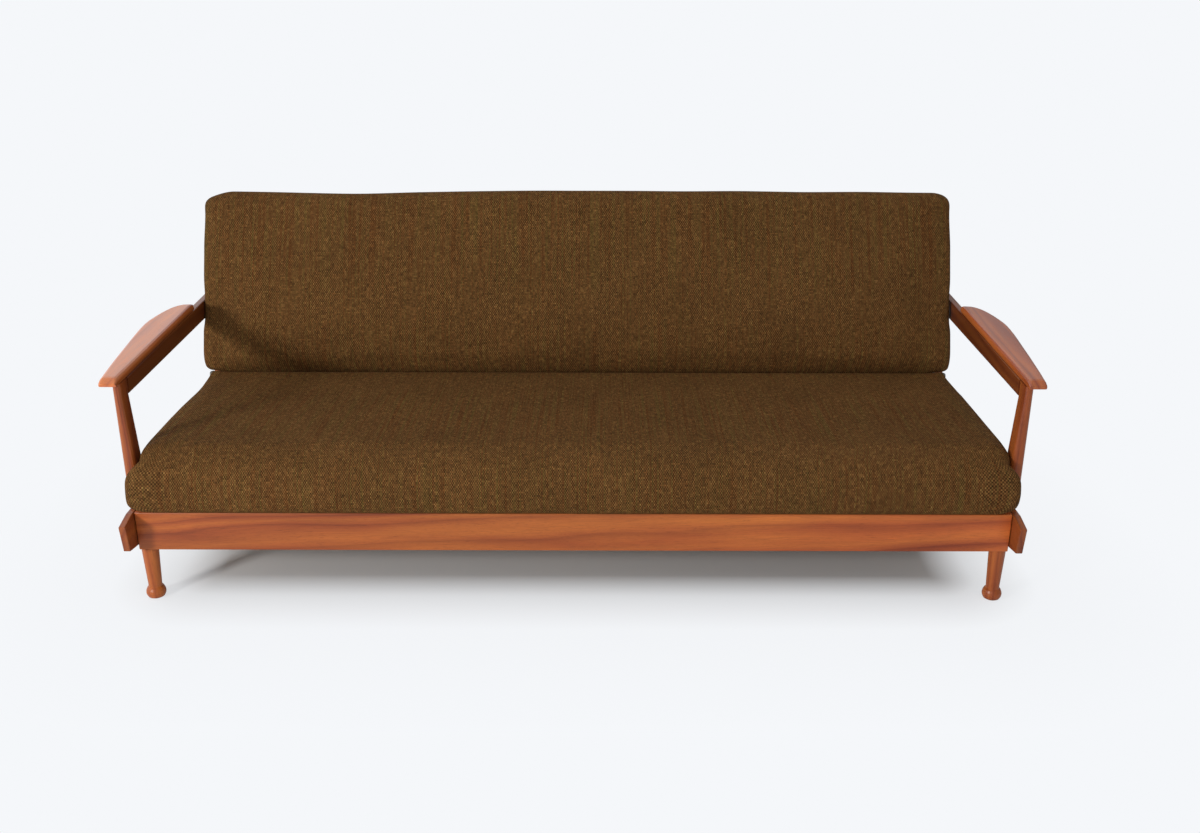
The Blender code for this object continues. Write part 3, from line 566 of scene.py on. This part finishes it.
def cushionMesh(name, spec, place, finish, endShare):
    nAlong, nUp = spec["nAlong"], spec["nUp"]
    ring = cushionSection(spec["corners"], spec["crown"], nAlong, nUp)
    size = len(ring)
    bend = spec["endRound"]
    flat = spec["half"] - bend
    turns = [0.5 * math.pi * k / spec["endSteps"] for k in range(1, spec["endSteps"] + 1)]
    inner = [flat * (2 * k / spec["columns"] - 1) for k in range(spec["columns"] + 1)]
    # Each stop across: its place, how far the outline is drawn in there, and its place on the cloth.
    ends = [(flat + bend * math.sin(t), bend * (1 - math.cos(t)), flat + bend * t) for t in turns]
    stops = [(-x, deep, -across) for x, deep, across in reversed(ends)] + [(x, 0.0, x) for x in inner] + ends
    points, faces, weave = [], [], []
    run = [0.0]
    for i in range(size):
        run.append(run[-1] + (ring[(i + 1) % size] - ring[i]).length)
    rows = []
    for x, deep, across in stops:
        loop = inset(ring, deep, endShare)
        rows.append(loop)
        points += [place(x, s.x, s.y) for s in loop]
    for c in range(len(stops) - 1):
        for i in range(size):
            a, b = c * size + i, c * size + (i + 1) % size
            faces.append((a, b, b + size, a + size))
            u0, u1 = stops[c][2], stops[c + 1][2]
            weave.append(((u0, run[i]), (u0, run[i + 1]), (u1, run[i + 1]), (u1, run[i])))

    def gusset(end, loop):  # the end panel, a grid between the outline's four sides
        x = stops[end][0]
        bottom = loop[:nAlong + 1]
        rear = loop[nAlong:nAlong + nUp + 1]
        top = loop[nAlong + nUp:2 * nAlong + nUp + 1][::-1]
        front = (loop[2 * nAlong + nUp:] + loop[:1])[::-1]
        apart = 3.0  # its place on the cloth, away from the rest of the cover
        grid = {}
        for i in range(nAlong + 1):
            for j in range(nUp + 1):
                s, t = i / nAlong, j / nUp
                spot = bottom[i] * (1 - t) + top[i] * t + front[j] * (1 - s) + rear[j] * s
                low = bottom[0] * (1 - s) * (1 - t) + bottom[-1] * s * (1 - t)
                spot -= low + top[0] * (1 - s) * t + top[-1] * s * t
                if j == 0:
                    key = i
                elif j == nUp:
                    key = (2 * nAlong + nUp - i) % size
                elif i == nAlong:
                    key = nAlong + j
                elif i == 0:
                    key = (2 * nAlong + 2 * nUp - j) % size
                else:
                    swell = spec["gusset"] * math.sin(math.pi * s) ** 0.5 * math.sin(math.pi * t)
                    grid[i, j] = (len(points), spot)
                    points.append(place(x + math.copysign(swell, x), spot.x, spot.y))
                    continue
                grid[i, j] = (end * size + key, spot)
        for i in range(nAlong):
            for j in range(nUp):
                ids = [grid[k] for k in ((i, j), (i + 1, j), (i + 1, j + 1), (i, j + 1))]
                faces.append(tuple(k for k, spot in ids))
                weave.append(tuple((spot.x + apart, spot.y + apart) for k, spot in ids))

    gusset(0, rows[0])
    gusset(len(stops) - 1, rows[-1])
    piece = newPiece(name, points, faces, finish, 180.0)
    cover = piece.data.uv_layers.new(name="weave")
    wanted = {}
    for face, spots in zip(faces, weave):
        wanted[frozenset(face)] = dict(zip(face, spots))
    for polygon in piece.data.polygons:
        spots = wanted[frozenset(polygon.vertices)]
        for loop in polygon.loop_indices:
            cover.data[loop].uv = spots[piece.data.loops[loop].vertex_index]
    return piece


puffing = {
    "quality": 3,
    "mass": 0.4,
    "taut": 30.0,
    "shear": 0.4,  # times taut
    "bend": 4.0,
    "pressure": 3.0,
    "frames": 20,
    "cap": 0.004,  # the foam's own give: no point ends further out than this
}


def puff(piece, held, keepClear):
    # Cloth under pressure swells the cover over its foam. Held points stay, the foam lets no point move
    # inward, and none moves further than the cap.
    mesh = piece.data
    rest = [v.co.copy() for v in mesh.vertices]
    outward = [v.normal.copy() for v in mesh.vertices]
    group = piece.vertex_groups.new(name="held")
    for i, spot in enumerate(rest):
        if held(spot):
            group.add([i], 1.0, "REPLACE")
    swell = piece.modifiers.new("puff", "CLOTH")
    cloth = swell.settings
    cloth.quality = puffing["quality"]
    cloth.mass = puffing["mass"]
    cloth.tension_stiffness = puffing["taut"]
    cloth.compression_stiffness = puffing["taut"]
    cloth.shear_stiffness = puffing["shear"] * puffing["taut"]
    cloth.bending_stiffness = puffing["bend"]
    cloth.use_pressure = True
    cloth.uniform_pressure_force = puffing["pressure"]
    cloth.effector_weights.gravity = 0.0
    cloth.vertex_group_mass = "held"
    cloth.pin_stiffness = 1.0
    swell.collision_settings.use_collision = False
    swell.point_cache.frame_end = puffing["frames"]
    for step in range(1, puffing["frames"] + 1):
        scene.frame_set(step)
    seen = piece.evaluated_get(bpy.context.evaluated_depsgraph_get())
    moved = [v.co.copy() for v in seen.data.vertices]
    piece.modifiers.remove(swell)
    scene.frame_set(1)
    longest = 0.0
    for vertex, start, end, normal in zip(mesh.vertices, rest, moved, outward):
        swollen = (end - start).dot(normal)
        longest = max(longest, swollen)
        vertex.co = keepClear(start + normal * min(puffing["cap"], max(0.0, swollen)))
    print(piece.name, "puffed, longest move mm before the cap", round(1000 * longest, 1))


def softened(piece):  # one subdivision, applied
    piece.modifiers.new("soft", "SUBSURF").levels = 1
    piece.modifiers["soft"].render_levels = 1
    bpy.context.view_layer.update()
    graph = bpy.context.evaluated_depsgraph_get()
    seen = piece.evaluated_get(graph)
    old = piece.data
    piece.data = bpy.data.meshes.new_from_object(seen, preserve_all_data_layers=True, depsgraph=graph)
    piece.modifiers.clear()
    bpy.data.meshes.remove(old)
    piece.data.shade_smooth()


hingeRise = 0.0045  # the cushions part this much over the hinge eyes at the ends
seatLow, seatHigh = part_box("seat_cushion")
seatPad = {
    "half": 0.9335,
    "corners": (  # along (depth from the leg line), up, radius along, radius up
        (-0.0455, seatLow.z, 0.024, 0.030),
        (0.5588, seatLow.z, 0.012, 0.012),
        (0.5588, seatHigh.z - 0.0104, 0.0125, 0.0105),
        (-0.0455, seatHigh.z - 0.0058, 0.090, 0.078),
    ),
    "spread": {  # extra half width of each side, by depth; kept clear of posts and hinge plates
        -1: ((0.03, 0.0064), (0.10, 0.0064), (0.22, 0.0078), (0.30, 0.0068), (0.45, 0.0), (0.50, -0.0008)),
        1: ((0.03, 0.0128), (0.20, 0.0122), (0.40, 0.0125), (0.445, 0.0085), (0.515, 0.0)),
    },
    "spreadBelow": 0.6,  # share of it at the foot of the side
    "crown": 0.004,
    "endRound": 0.026,
    "endSteps": 5,
    "columns": 132,
    "nAlong": 52,
    "nUp": 14,
    "gusset": 0.0005,
    "cornerBulge": 0.0285,  # the front corners swell out in front of the posts
    "cornerFall": {"above": 2.2, -1: 5.5, 1: 3.6},  # how late that fades: above, and below on each side
    "postGap": 0.004,
    "lip": 0.0016,  # the top's rear edge stands up to the back
    "hingeLip": 0.85,  # and follows this share of the hinge rise at the ends
    "dent": 0.0014,  # unevenness of the top
    "ripple": 0.0012,  # and of the front
    "slack": 0.0006,  # how far the sides may swell past their width
    "heldFoot": 0.004,  # from the foot up, and behind the depth below, the cover is held
    "heldRear": 0.535,
    "fill": 0.85,
}


def addSeatPad():
    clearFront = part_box("arm_post_L")[0].y - legLine - seatPad["postGap"]
    middle = 0.5 * (seatLow.z + seatHigh.z)
    tall = 0.5 * (seatHigh.z - seatLow.z)
    half = seatPad["half"]

    def spread(x, d, z):
        table = seatPad["spread"][-1 if x < 0 else 1]
        below = seatPad["spreadBelow"]
        extra = table[0][1]
        for (d0, w0), (d1, w1) in zip(table, table[1:]):
            if d > d0:
                extra = w0 + (w1 - w0) * min(1.0, (d - d0) / (d1 - d0))
        return extra * rise((d + 0.005) / 0.03) * (below + (1 - below) * rise(0.5 + (z - middle) / tall))

    def endShare(spot):  # the ends are crisper behind and below than at the front corners
        share = 0.5 + 0.5 * rise((0.10 - spot.x) / 0.12) - 0.46 * rise((spot.x - 0.40) / 0.12)
        return share * (1.0 - 0.5 * rise((middle - spot.y) / tall))

    def place(x, d, z):
        up = min(1.0, abs((z - middle) / tall))
        fall = 1 - up ** seatPad["cornerFall"]["above" if z > middle else -1 if x < 0 else 1]
        swell = rise((clearFront - d) / 0.034) * rise((abs(x) - half + 0.075) / 0.07) * fall
        out = abs(x) + seatPad["cornerBulge"] * swell + abs(x) / half * spread(x, d, z)
        above = rise((z - middle) / tall)
        dent = noise.noise(Vector((x * 5.0, d * 5.0, 4.0))) * above * rise((0.50 - d) / 0.08)
        lip = rise((d - 0.490) / 0.05) * rise((0.559 - d) / 0.012) * above
        lip *= seatPad["lip"] + seatPad["hingeLip"] * hingeRise * rise((abs(x) - 0.900) / 0.020)
        ripple = noise.noise(Vector((x * 7.0, 9.0, z * 9.0))) * rise((0.02 - d) / 0.05)
        return Vector((
            math.copysign(out, x),
            legLine + d + seatPad["ripple"] * ripple,
            z + seatPad["dent"] * dent + lip,
        ))

    def held(spot):
        return spot.z < seatLow.z + seatPad["heldFoot"] or spot.y - legLine > seatPad["heldRear"]

    def keepClear(spot):
        spot.z = max(spot.z, seatLow.z)
        if spot.y - legLine > clearFront:
            limit = half + seatPad["slack"] + spread(spot.x, spot.y - legLine, spot.z)
            spot.x = math.copysign(min(abs(spot.x), limit), spot.x)
        return spot

    piece = cushionMesh("seatPad", seatPad, place, "tweed", endShare)
    puff(piece, held, keepClear)
    softened(piece)
    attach(piece, "seat")
    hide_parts("seat_cushion")


backPad = {
    "lean": 19.0,  # degrees off upright
    "half": 0.9605,
    "widths": (  # up the back from the hinge, half width of the front; narrower between the arm rails
        (0.010, 0.9560), (0.060, 0.9605), (0.110, 0.9600), (0.142, 0.9561), (0.205, 0.9560),
        (0.245, 0.9578), (0.320, 0.9570), (0.415, 0.9533), (0.480, 0.9525)),
    "rightIn": 0.0040,  # the right end stands this much further in
    "rearHalf": 0.9490,
    "corners": (  # up the back, forward of the hinge, radii
        (0.0061, -0.0855, 0.022, 0.020),
        (0.4725, -0.0855, 0.030, 0.030),
        (0.4725, 0.0130, 0.036, 0.042),
        (0.0061, 0.0130, 0.044, 0.021),
    ),
    "crown": 0.0045,
    "belly": (0.024, 0.14, 0.42),  # how far the front swells, how high it is fullest and where it ends
    "endRound": 0.015,
    "endSteps": 5,
    "columns": 132,
    "nAlong": 42,
    "nUp": 11,
    "gusset": 0.0005,
    "topCorner": {-1: (0.060, 0.0180), 1: (0.030, 0.0110)},  # width and drop
    "footCorner": {-1: (0.014, 0.003), 1: (0.014, 0.001)},
    "bow": 0.003,  # the top edge arches this much
    "sag": (0.0075, -0.58, 0.25),  # and sinks left of the middle: how far, where and how widely
    "uneven": 0.0012,  # of the top edge and the front
    "slack": 0.0004,  # how far the ends may swell past their width
    "heldRear": 0.003,  # from the rear face and from the foot, the cover is held
    "heldFoot": 0.004,
    "pressed": 0.0016,  # what lies this near the foot is pressed flat
    "fill": 0.85,
}
lean = math.radians(backPad["lean"])
backUp = Vector((0, math.sin(lean), math.cos(lean)))
backAhead = Vector((0, -math.cos(lean), math.sin(lean)))
backRear = -backAhead


def addBackPad():
    half = backPad["half"]
    foot, rearFace = backPad["corners"][0][:2]
    top = backPad["corners"][2][0]
    table = backPad["widths"]

    def widthAt(u, f):
        front = table[0][1]
        for (u0, w0), (u1, w1) in zip(table, table[1:]):
            if u > u0:
                front = w0 + (w1 - w0) * rise((u - u0) / (u1 - u0))
        return front - (front - backPad["rearHalf"]) * rise((-0.004 - f) / 0.030)

    def rounded(x, corner):
        wide, drop = corner[-1 if x < 0 else 1]
        share = max(0.0, (abs(x) - half + wide) / wide)
        return drop * min(1.0, share) ** 1.4

    def belly(x, u, f):  # fullest low down, nothing at the foot, the rear and the ends
        full, fullest, end = backPad["belly"]
        low = min(1.0, max(0.0, (fullest - u) / (fullest - foot)))
        upward = (1 - low ** 2) * rise((end - u) / (end - fullest))
        return full * upward * rise((f - rearFace) / 0.07) * rise((0.93 - abs(x)) / 0.12)

    def place(x, u, f):
        sag, sagAt, sagWide = backPad["sag"]
        bow = backPad["bow"] * (1 - (x / half) ** 2) - sag * math.exp(-((x - sagAt) / sagWide) ** 2)
        bow += backPad["uneven"] * noise.noise(Vector((x * 6.0, 2.0, 5.0))) - rounded(x, backPad["topCorner"])
        lift = rounded(x, backPad["footCorner"]) + hingeRise * rise((abs(x) - 0.914) / 0.017)
        f += belly(x, u, f)
        f += backPad["uneven"] * noise.noise(Vector((x * 6.0, u * 6.0, 7.0))) * rise((f - rearFace) / 0.06)
        u += bow * rise((u - top + 0.12) / 0.12) + lift * rise((foot + 0.07 - u) / 0.07)
        spot = hinge + backUp * u + backAhead * f
        wide = widthAt(u, f) - (backPad["rightIn"] if x > 0 else 0.0)
        return Vector((x / half * wide, spot.y, spot.z))

    def endShare(spot):  # crisper along the top and the foot
        return 1.0 - 0.55 * rise((spot.x - top + 0.05) / 0.04) - 0.45 * rise((foot + 0.05 - spot.x) / 0.04)

    def held(spot):
        away = spot - hinge
        return (away.dot(backAhead) < rearFace + backPad["heldRear"]
                or away.dot(backUp) < foot + backPad["heldFoot"])

    def keepClear(spot):
        away = spot - hinge
        spot = spot + backAhead * max(0.0, rearFace - away.dot(backAhead))
        spot = spot + backUp * max(0.0, foot - away.dot(backUp))
        limit = widthAt(away.dot(backUp), away.dot(backAhead)) + backPad["slack"]
        spot.x = math.copysign(min(abs(spot.x), limit), spot.x)
        return spot

    piece = cushionMesh("backPad", backPad, place, "tweed", endShare)
    puff(piece, held, keepClear)
    softened(piece)
    for vertex in piece.data.vertices:  # the foot is pressed flat where it rests on the seat
        height = (vertex.co - hinge).dot(backUp)
        if height < foot + backPad["pressed"]:
            vertex.co += backUp * (foot - height)
    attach(piece, "back")
    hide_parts("back_cushion")


addSeatPad()
addBackPad()
print("cushions made")


def spaced(reach, count):
    return [reach * (2 * k / (count - 1) - 1) for k in range(count)]


webbing = {
    "wide": 0.050,
    "thick": 0.0012,
    "lift": 0.0007,  # each strap passes this much over or under the one it crosses
    "step": 0.011,
}
seatNet = {  # straps along the run at each line, and across it at each row, out to the reach
    "lines": spaced(0.905, 13),
    "rows": (0.013, 0.181, 0.342, 0.499),
    "run": (-0.012, 0.524),
    "reach": 0.930,
}
backNet = {
    "lines": spaced(0.9086, 13),
    "rows": (0.058, 0.246, 0.434),
    "run": (0.033, 0.459),
    "reach": 0.9336,
    "behind": 0.0874,  # behind the hinge
}


def addWebbing(name, node, body, net, place):  # woven over and under by turns
    wide, thick = webbing["wide"], webbing["thick"]
    points, faces, spots = [], [], []

    def strap(number, centre, start, end, crossings, turned):
        count = math.ceil((end - start) / webbing["step"])
        first = len(points)
        near = crossings[1] - crossings[0]
        for k in range(count + 1):
            along = start + (end - start) * k / count
            height = 0.0
            for i, at in enumerate(crossings):
                sign = -1 if (number + i + turned) % 2 else 1
                height += sign * rise(1.0 - abs(along - at) / near)
            height *= webbing["lift"]
            for across, up in ((-1, -1), (1, -1), (1, 1), (-1, 1)):
                a, b = centre + across * wide / 2, along
                points.append(place(b if turned else a, a if turned else b, height + up * thick / 2))
                spots.append((across * wide / 2 + 0.2 * number, along))
        for k in range(count):
            for i in range(4):
                a, b = first + 4 * k + i, first + 4 * k + (i + 1) % 4
                faces.append((a, b, b + 4, a + 4))
        faces.append(tuple(first + i for i in (3, 2, 1, 0)))
        faces.append(tuple(first + 4 * count + i for i in range(4)))

    for number, line in enumerate(net["lines"]):
        strap(number, line, *net["run"], net["rows"], 0)
    for number, row in enumerate(net["rows"]):
        strap(number, row, -net["reach"], net["reach"], net["lines"], 1)
    piece = newPiece(name, points, faces, "web", 40.0)
    cover = piece.data.uv_layers.new(name="weave")
    for loop in piece.data.loops:
        cover.data[loop.index].uv = spots[loop.vertex_index]
    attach(piece, body)
    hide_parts(node)


deckZ = 0.5 * sum(corner.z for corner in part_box("seat_webbing"))


def onSeat(x, d, h):
    return Vector((x, legLine + d, deckZ + h))


def onBack(x, u, behind):
    return hinge + Vector((x, 0, 0)) + backUp * u + backRear * behind


addWebbing("seatStraps", "seat_webbing", "seat", seatNet, onSeat)
addWebbing("backStraps", "back_webbing", "back", backNet, lambda x, u, h: onBack(x, u, backNet["behind"] - h))
print("webbing woven")


screw = {
    "radius": 0.0036,
    "base": 0.0003,
    "crown": 0.0008,
    "slot": 0.0010,
    "sides": 14,
    "dome": 0.94,  # radius of the dome's foot, times the head's
    "domeTop": 0.86,  # and of its top, times its foot's
    "domeSteps": 7,
    "turn": 2.4,  # radians from one slot to the next
}


def addScrews(name, body, spots):  # slotted heads: a thin washer face and two half domes beside the slot
    points, faces = [], []

    def prism(outline, low, high, top, home, across, up, axis):
        first, count = len(points), len(outline)
        for height, scale in ((low, 1.0), (high, top)):
            points.extend(home + across * (p * scale) + up * (q * scale) + axis * height for p, q in outline)
        for i in range(count):
            a, b = first + i, first + (i + 1) % count
            faces.append((a, b, b + count, a + count))
        faces.append(tuple(range(first + count - 1, first - 1, -1)))
        faces.append(tuple(range(first + count, first + 2 * count)))

    radius, steps = screw["radius"], screw["domeSteps"]
    dome = screw["dome"] * radius
    start = math.asin(screw["slot"] / 2 / dome)
    turns = [2 * math.pi * k / screw["sides"] for k in range(screw["sides"])]
    bend = [start + (math.pi - 2 * start) * k / steps for k in range(steps + 1)]
    disc = [(radius * math.cos(t), radius * math.sin(t)) for t in turns]
    for number, (home, axis) in enumerate(spots):
        across = axis.orthogonal().normalized()
        across = Matrix.Rotation(screw["turn"] * number, 3, axis) @ across
        up = axis.cross(across)
        prism(disc, 0, screw["base"], 1.0, home, across, up, axis)
        for side in (1, -1):
            half = [(side * dome * math.cos(t), side * dome * math.sin(t)) for t in bend]
            prism(half, screw["base"], screw["crown"], screw["domeTop"], home, across, up, axis)
    piece = newPiece(name, points, faces, "steel", 35.0)
    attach(piece, body)


screwPlaces = {
    "panelRows": (0.047, 0.446),  # up the back from the hinge
    "panelAcross": (0.916, 7),  # reach and count
    "panelSides": (-0.918, 0.918),
    "panelSideRows": (0.147, 0.247, 0.347),
    "panelMiddle": (0.18, 0.315),
    "armRows": (0.050, 0.088, 0.126),
    "armBehind": 0.0988,
}
panelRear = max((Vector(v.co) - hinge).dot(backRear) for v in nodes["back_panel"].data.vertices)
panelSpots = [(x, u) for u in screwPlaces["panelRows"] for x in spaced(*screwPlaces["panelAcross"])]
panelSpots += [(x, u) for x in screwPlaces["panelSides"] for u in screwPlaces["panelSideRows"]]
panelSpots += [(0.0, u) for u in screwPlaces["panelMiddle"]]
addScrews("panelScrews", "back", [(onBack(x, u, panelRear), backRear) for x, u in panelSpots])
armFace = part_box("swing_arm_R")[1].x
addScrews("swingArmScrews", "back", [
    (onBack(side * armFace, u, screwPlaces["armBehind"]), Vector((side, 0, 0)))
    for side in (-1, 1) for u in screwPlaces["armRows"]])
print("screws added")


studio = {
    "floor": "#f4f4f3",
    "floorSize": 30.0,
    "floorSeen": 0.80,  # the shaded floor as the camera sees it
    "backdrop": "#f5f7fa",
    "clear": (0.82, 0.27),  # half width and depth of the floor that takes the settee's shadow
    "fade": [  # to the backdrop, in metres outside that
        (0.0, "#000000"), (0.10, "#cccccc"), (0.24, "#f8f8f8"), (0.60, "#ffffff")],
    "window": {"place": (-3.0, -3.0, 1.5), "aim": (-0.3, 0.0, 0.45), "size": (0.6, 0.6), "power": 91.0},
    "skyFrom": (-0.50, -0.05, 0.85),
    "sky": (0.27, 0.88),  # from the dark side of the room to the bright one
    "mirrorFrom": (-1.0, 0.20, 0.10),
    "mirror": (0.20, 1.65),  # the same for what the lacquer reflects
    "grade": (-0.7, 1.0),  # where both begin and end
}


def addFloor():
    span = studio["floorSize"]
    corners = [(x * span, y * span, 0) for x, y in ((-1, -1), (1, -1), (1, 1), (-1, 1))]
    mesh = bpy.data.meshes.new("floor")
    mesh.from_pydata(corners, [], [(0, 1, 2, 3)])
    paper, tree, shader = newFinish("paleFloor")
    tree.nodes.remove(shader)
    camera = put(tree, "ShaderNodeLightPath"), "Is Camera Ray"
    bright = mapped(tree, camera, 0.0, 1.0, 1.0, studio["floorSeen"])
    colour = scaled(tree, linear(studio["floor"])[:3], bright)
    near = put(tree, "ShaderNodeBsdfDiffuse", None, {"Color": colour})
    far = put(tree, "ShaderNodeEmission", None, {"Color": linear(studio["backdrop"]), "Strength": 1.0})
    spot = put(tree, "ShaderNodeTexCoord")
    side = calcVector(tree, "ABSOLUTE", (spot, "Object"))
    past = calcVector(tree, "SUBTRACT", side, (*studio["clear"], 0.0))
    away = calcVector(tree, "LENGTH", calcVector(tree, "MAXIMUM", past, (0, 0, 0)))
    share = calc(tree, "MULTIPLY", ramp(tree, away, studio["fade"]), camera)
    both = put(tree, "ShaderNodeMixShader", None, {0: share, 1: (near, "BSDF"), 2: (far, "Emission")})
    feed(tree, tree.nodes["Material Output"], {"Surface": (both, 0)})
    mesh.materials.append(paper)
    floor = bpy.data.objects.new("floor", mesh)
    scene.collection.objects.link(floor)


def addWindow():
    window = studio["window"]
    data = bpy.data.lights.new("window", "AREA")
    data.energy = window["power"]
    data.shape = "RECTANGLE"
    data.size, data.size_y = window["size"]
    lamp = bpy.data.objects.new("window", data)
    lamp.location = window["place"]
    lamp.rotation_euler = (Vector(window["place"]) - Vector(window["aim"])).to_track_quat("Z", "Y").to_euler()
    scene.collection.objects.link(lamp)


def addRoom():
    world = bpy.data.worlds.new("studio")
    world.use_nodes = True
    scene.world = world
    tree = world.node_tree
    tree.nodes.clear()
    path = put(tree, "ShaderNodeLightPath")
    spot = put(tree, "ShaderNodeTexCoord")
    start, end = studio["grade"]
    graded = []
    for kind in ("sky", "mirror"):
        low, high = studio[kind]
        source = Vector(studio[kind + "From"]).normalized()
        toward = calcVector(tree, "DOT_PRODUCT", (spot, "Generated"), source)
        graded.append((put(tree, "ShaderNodeMapRange", {"interpolation_type": "SMOOTHSTEP"}, {
            "Value": toward, "From Min": start, "From Max": end, "To Min": low, "To Max": high}), "Result"))
    room = mixedValue(tree, (path, "Is Glossy Ray"), *graded)
    strength = mixedValue(tree, (path, "Is Camera Ray"), room, 1.0)
    sky = put(tree, "ShaderNodeBackground", None, {
        "Color": linear(studio["backdrop"]), "Strength": strength})
    put(tree, "ShaderNodeOutputWorld", None, {"Surface": (sky, "Background")})


scene.view_settings.view_transform = "Standard"
addFloor()
addWindow()
addRoom()
print("studio lit")
